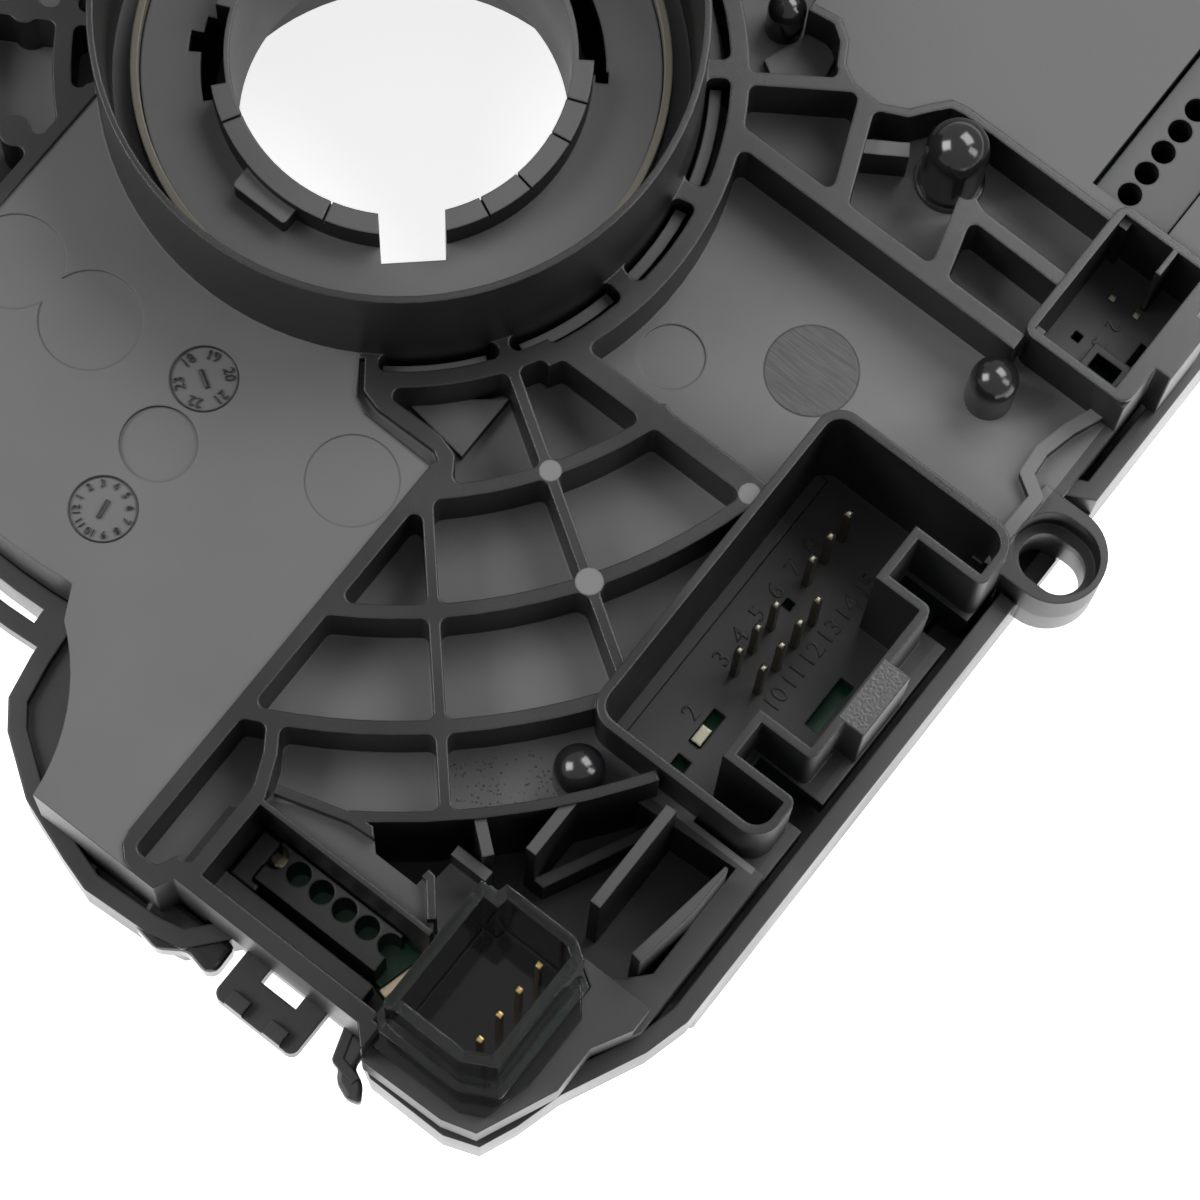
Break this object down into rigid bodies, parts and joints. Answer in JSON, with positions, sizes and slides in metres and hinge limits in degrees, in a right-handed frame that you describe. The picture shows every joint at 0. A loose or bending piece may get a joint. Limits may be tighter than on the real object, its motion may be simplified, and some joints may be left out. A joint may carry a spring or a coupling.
{
  "type": "steering clock spring",
  "caption": "Steering column clock spring with angle sensor: round cable cassette, ribbed back cover with a raised collar, open pin connectors and slotted mounting ears.",
  "frame": {"origin": "on the axis of the column bore, level with the back cover's outer face", "axes": "+Z along the bore axis towards the steering column side, which is the pictured face; +X towards the side with the connectors"},
  "size_m": [0.1353, 0.1255, 0.0472],
  "materials": {
    "black_housing": "satin moulded",
    "rotor_black": "satin moulded",
    "gloss_black": "polished",
    "chip_black": "moulded",
    "board_green": "lacquered board",
    "cream_slide": "smooth",
    "clear_plastic": "clear",
    "yellow_plastic": "moulded",
    "gear_white": "moulded",
    "cable_film": "film",
    "tinned_pin": "tinned",
    "gold_pin": "gold flash",
    "magnet_grey": "sintered"
  },
  "bodies": {
    "base": {"back_cover": "black_housing", "front_housing": "black_housing", "circuit_board": "board_green", "lower_board": "board_green", "board_chips": "chip_black", "cassette_plate": "black_housing", "slide_ring": "cream_slide", "front_slide_ring": "cream_slide", "main_pins": "tinned_pin", "main_blade": "tinned_pin", "side_pins": "tinned_pin", "small_socket": "clear_plastic", "small_pins": "gold_pin", "pin_guide_a": "black_housing", "pin_guide_b": "black_housing", "guide_pin": "gloss_black", "stake_heads": "gloss_black", "cable_block": "chip_black"},
    "rotor": {"rotor_hub": "rotor_black", "front_drum": "rotor_black", "front_plate": "rotor_black", "squib_sockets": "yellow_plastic", "switch_socket": "chip_black", "front_pins": "gold_pin", "flat_cable": "cable_film"},
    "gear_a": {"sensor_gear_a": "gear_white", "magnet_a": "magnet_grey"},
    "gear_b": {"sensor_gear_b": "gear_white", "magnet_b": "magnet_grey"}
  },
  "joints": [
    {"name": "rotor_turn", "type": "hinge", "parent": "base", "child": "rotor", "pos_m": [0, 0, 0], "axis": [0, 0, 1], "range_deg": [-900, 900], "deforming": ["flat_cable"]},
    {"name": "gear_a_turn", "type": "hinge", "parent": "base", "child": "gear_a", "pos_m": [-0.01043, -0.03758, -0.0096], "axis": [0, 0, 1], "range_deg": [-2700, 2700]},
    {"name": "gear_b_turn", "type": "hinge", "parent": "base", "child": "gear_b", "pos_m": [0.01481, -0.03716, -0.0096], "axis": [0, 0, 1], "range_deg": [-2400, 2400]}
  ],
  "couplings": [
    {"joint": "gear_a_turn", "follows": "rotor_turn", "ratio": -2.9},
    {"joint": "gear_b_turn", "follows": "rotor_turn", "ratio": -2.6364}
  ]
}
